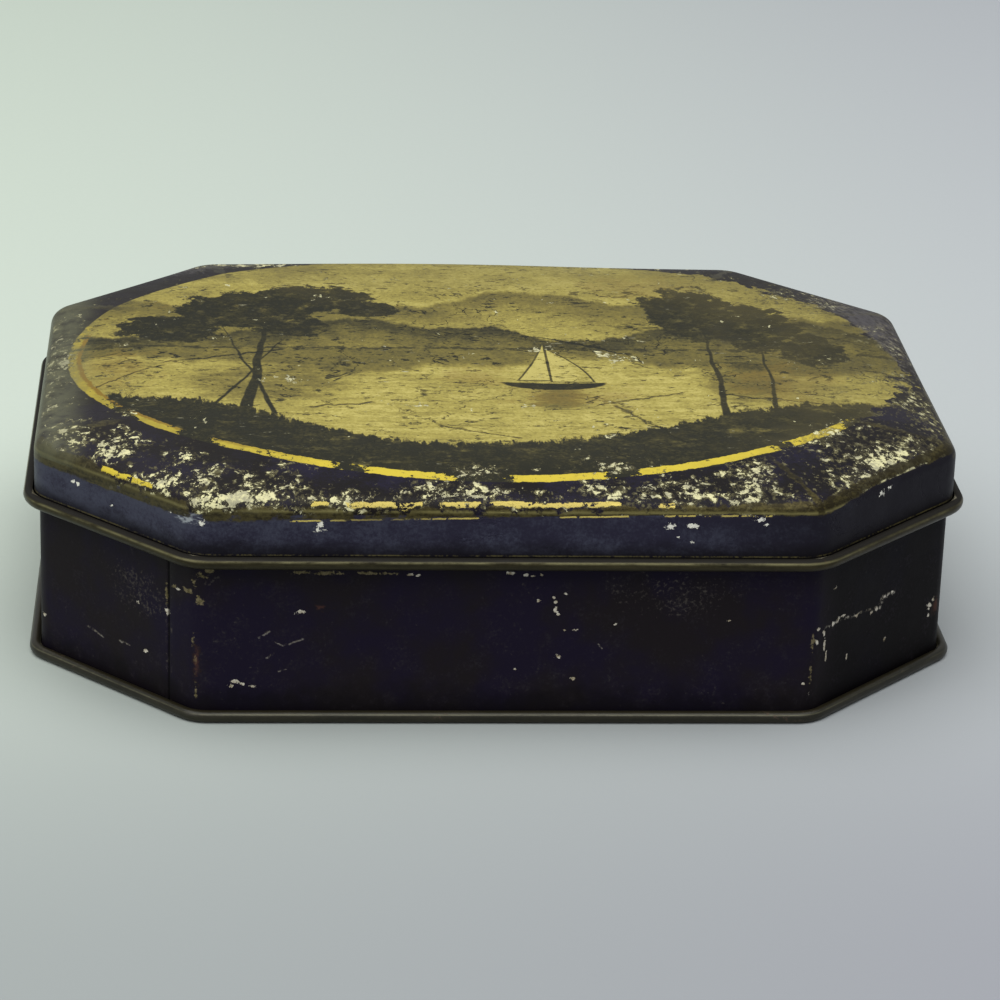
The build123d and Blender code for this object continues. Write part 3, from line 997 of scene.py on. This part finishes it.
def lacquered_tin():
    """The wall's outside: almost black blue lacquer with chips, scratches and rust."""
    s = Surface("lacquered_tin")
    patch = s.noise(24, 4, 0.55, seed=71)
    grain = s.noise(0.9, 5, 0.72, seed=73)
    grime = s.noise(6, 6, 0.68, seed=75)
    front = s.y.ease(-88, -90)
    tint = (patch + front * 0.03).ease(-0.1, 0.14)
    colour = s.mix(tint, (28, 24, 27), (25, 20, 37))
    # Painted shade on the wall's right end
    colour = s.mix(s.x.ease(76, 84) * 0.75, colour, (7, 6, 6))
    colour = s.mix((grime + grain * 1.1).ease(0.02, 0.36) * 0.5, colour, (44, 41, 46))
    colour = s.mix((s.z + grime * 14).ease(11, 3) * 0.6, colour, (9, 7, 9))
    flakes = s.noise(1.5, 7, 0.72, stretch=(1.2, 1.2, 0.8), seed=77)
    patches = s.blobs(wall_patches).ease(0, 0.6)
    dull = (grain + patches * 0.14 + patch * 0.2 + grime * 0.3).ease(0.16, 0.3)
    colour = s.mix(dull * 0.5, colour, (86, 81, 74))
    smeared = (s.blobs(wall_smears) + flakes * 2.4 + grain * 1.6).ease(0.42, 0.56)
    smear_colour = s.mix(grain.ease(-0.1, 0.1), olive, (124, 114, 86))
    colour = s.mix(smeared * 0.8, colour, smear_colour)
    chips = s.front_chips(wall_chips).most(s.blobs(far_wall_chips))
    bare = (chips + flakes * 1.4 + grain * 2.6).ease(0.46, 0.54)
    bare = bare.most((flakes + patches * 0.05).ease(0.3, 0.33))
    for start, end, half in wall_scratches:
        line = s.scratch(front_place(*start), front_place(*end), half, grime * 3)
        bare = bare.most(line * (grain + flakes).ease(-0.14, 0.08) * 0.32)
    for start, end in zip(crazed_line, crazed_line[1:]):
        line = s.scratch(front_place(*start), front_place(*end), 0.3, grime * 4)
        bare = bare.most(line * (grain + flakes).ease(-0.02, 0.08) * 0.6)
    paler = (grain + grime).ease(-0.14, 0.16)
    chip_colour = s.mix(paler, (150, 138, 112), (212, 206, 192))
    colour = s.mix(bare * 0.94, colour, chip_colour)
    along = s.measure("DOT_PRODUCT", s.place, (*seam_along, 0)) - seam_place.dot(seam_along)
    across = s.measure("DOT_PRODUCT", s.place, (*seam_inward, 0)) - seam_place.dot(seam_inward)
    seam = abs(along).ease(seam_groove_half, 0.15) * abs(across).ease(2, 1)
    colour = s.mix(seam * 0.8, colour, (7, 6, 7))
    beside = along.band(-0.95, 0.25, 0.3) * abs(across).ease(2, 1) * grime.ease(0.02, 0.12)
    colour = s.mix(beside * 0.5, colour, (98, 92, 80))
    stained = s.blobs(wall_rust)
    rusty = (stained * 0.7 + grime + flakes * 2).ease(0.2, 0.6) * stained.ease(0, 0.3)
    rusty_colour = s.mix(stained.ease(0.4, 0.8), (44, 32, 24), (86, 56, 46))
    colour = s.mix(rusty * 0.55, colour, rusty_colour)
    s.set(Base_Color=colour, Specular_IOR_Level=0.06)
    s.set(Roughness=grime * 0.3 + bare * 0.25 + 0.52)
    s.bump(bare * -0.05 + grain * 0.02 + grime * 0.08)
    return s.material


def aged_tin():
    """Bare tinplate inside the box and on the lid's rolled edge, darker where it is outside, with
    painted highlight and shade on the rolled edge.
    """
    s = Surface("aged_tin")
    inset = s.inset()
    grime = s.noise(9, 6, 0.65, seed=91)
    fine = s.noise(1.2, 5, 0.7, seed=93)
    drag = s.noise(2.4, 6, 0.7, stretch=(6, 6, 0.5), seed=94)
    outside = inset.ease(-1.3, -1.9)
    inner = s.mix((grime + fine * 0.4).ease(-0.2, 0.2), (120, 112, 88), (168, 162, 140))
    bead = s.mix((drag + fine * 0.5).ease(-0.2, 0.25), (35, 31, 16), (58, 53, 31))
    # Painted highlight along the rolled edge's crest, partly polished wear, dimmer to the right
    crest_highlight = s.z.band(lid_curl_height + 0.72, 0.16, 0.3) * (grime + drag * 0.5).ease(-0.2, 0.15)
    bead = s.mix(crest_highlight * (0.8 - s.x.ease(78, 92) * 0.45), bead, (126, 122, 87))
    # Painted shade with some dirt on the rolled edge's top, in the crevice by the skirt, also kept
    # from shining
    crevice_dirt_and_shade = s.z.ease(lid_curl_height + 0.9, lid_curl_height + 1.2) * outside
    bead = s.mix(crevice_dirt_and_shade, bead, (20, 17, 11))
    # Painted shade on the rolled edge's underside
    bead = s.mix(s.z.ease(lid_curl_height - 0.2, lid_curl_height - 0.9) * 0.6, bead, olive_dark)
    colour = s.mix(outside, inner, bead)
    freckles = (fine + grime * 0.6).ease(0.2, 0.3)
    colour = s.mix(freckles * (0.7 - outside * 0.3), colour, (84, 52, 28))
    s.set(Base_Color=colour, Specular_IOR_Level=0.25)
    s.set(Metallic=(0.75 - freckles * 0.7 - outside * 0.4) * (1 - crevice_dirt_and_shade))
    s.set(Roughness=grime * 0.3 + freckles * 0.2 + 0.36 + crevice_dirt_and_shade * 0.4)
    s.bump(fine * 0.02 + grime * 0.04 - freckles * 0.02)
    return s.material


def base_tin():
    """The base's bare tinplate: brown rolled edge with painted highlight and shade, stained
    underside with rust freckles.
    """
    s = Surface("base_tin")
    inset = s.inset()
    grime = s.noise(12, 8, 0.72, seed=95)
    fine = s.noise(1.3, 5, 0.7, seed=97)
    drag = s.noise(2.4, 6, 0.7, stretch=(6, 6, 0.5), seed=98)
    outside = inset.ease(0.2, -0.4)
    panel = s.mix((grime + fine * 0.4).ease(-0.2, 0.2), (96, 90, 70), (150, 144, 122))
    bead = s.mix((drag + fine * 0.5).ease(-0.2, 0.25), (27, 26, 16), (44, 41, 28))
    # Painted highlight along the rolled edge's crest, dimmer to the right
    crest_height = base_curl_radius * 1.62
    crest_highlight = s.z.band(crest_height, 0.08, 0.18) * (grime + drag * 0.5).ease(-0.2, 0.15)
    bead = s.mix(crest_highlight * (0.8 - s.x.ease(76, 90) * 0.5), bead, (105, 103, 80))
    # Painted shade on the rolled edge's top, by the wall, and on its underside
    bead = s.mix(s.z.ease(crest_height + 0.3, 2 * base_curl_radius) * 0.7, bead, olive_dark)
    bead = s.mix(s.z.ease(base_curl_radius, 0.3 * base_curl_radius) * 0.6, bead, olive_dark)
    colour = s.mix(outside, panel, bead)
    freckles = (fine + grime * 0.9).ease(0.17, 0.23)
    colour = s.mix(freckles * (0.8 - outside * 0.4), colour, (78, 46, 24))
    s.set(Base_Color=colour, Metallic=0.6 - freckles * 0.55 - outside * 0.25)
    s.set(Roughness=grime * 0.3 + freckles * 0.2 + 0.38)
    s.bump(fine * 0.02 + grime * 0.04 - freckles * 0.02)
    return s.material


def floor_paper():
    """Pale floor, greener to the left, with painted shade that darkens it towards the front."""
    s = Surface("floor_paper")
    near = s.mix(s.x.ease(-240, 260), (142, 149, 147), (138, 139, 150))
    far = s.mix(s.x.ease(-260, 320), (189, 201, 188), (171, 175, 181))
    colour = s.mix(s.y.ease(-240, 100), near, far)
    grain = s.noise(2, 3, 0.6, seed=99)
    colour = s.mix((grain + 0.5) * 0.08, colour, (140, 146, 150))
    s.set(Base_Color=colour, Roughness=0.7)
    return s.material


# Half the floor's side, in metres
floor_half = 6.0


def make_floor():
    """A wide level floor under the box."""
    mesh = bmesh.new()
    bmesh.ops.create_grid(mesh, x_segments=8, y_segments=8, size=floor_half)
    floor = add_object("floor", mesh, [floor_paper()])


def add_light(name, place, aim, size, power, tint):
    """A square area light at a place in metres, aimed at a point."""
    data = bpy.data.lights.new(name, "AREA")
    data.size = size
    data.energy = power
    data.color = tint
    light = bpy.data.objects.new(name, data)
    light.location = place
    light.rotation_euler = (Vector(aim) - Vector(place)).to_track_quat("-Z", "Y").to_euler()
    bpy.context.collection.objects.link(light)


# Name, place, aim, size, power and tint, in metres and watts
lights = [
    ("overhead", (-0.12, -0.28, 1.5), (0, 0, 0), 2.2, 41, (1.0, 0.99, 0.96)),
    ("fill", (-1.2, -1.0, 0.8), (0, 0, 0.03), 0.9, 3, (1.0, 0.98, 0.96)),
]


def make_lights():
    """Soft light from above and in front, a weak fill from the left and a pale surround."""
    for row in lights:
        add_light(*row)
    world = bpy.data.worlds.new("surround")
    world.use_nodes = True
    background = world.node_tree.nodes["Background"]
    background.inputs["Color"].default_value = (0.93, 0.97, 1.0, 1.0)
    background.inputs["Strength"].default_value = 0.36
    bpy.context.scene.world = world


# Camera, fitted to the photograph: place and lens in millimetres, angles in degrees
camera_place = (-67.80, -928.52, 388.78)
camera_yaw = 4.451
camera_pitch = 21.482
camera_roll = 1.931
camera_lens = 134.99
sensor_width = 36.0


def make_camera():
    """The photograph's viewing angle."""
    data = bpy.data.cameras.new("camera")
    data.lens = camera_lens
    data.sensor_width = sensor_width
    data.clip_start = 0.01
    data.clip_end = 50
    camera = bpy.data.objects.new("camera", data)
    turn = Matrix.Rotation(radians(-camera_yaw), 4, "Z")
    tilt = Matrix.Rotation(radians(90 - camera_pitch), 4, "X")
    roll = Matrix.Rotation(radians(camera_roll), 4, "Z")
    camera.matrix_world = Matrix.Translation(Vector(camera_place) * MM) @ turn @ tilt @ roll
    bpy.context.collection.objects.link(camera)
    bpy.context.scene.camera = camera


bare_steel = aged_tin()
make_lid([printed_tin(), bare_steel])
make_wall([lacquered_tin(), bare_steel])
make_base([base_tin()])
make_floor()
make_lights()
make_camera()
bpy.context.scene.view_settings.view_transform = "Standard"
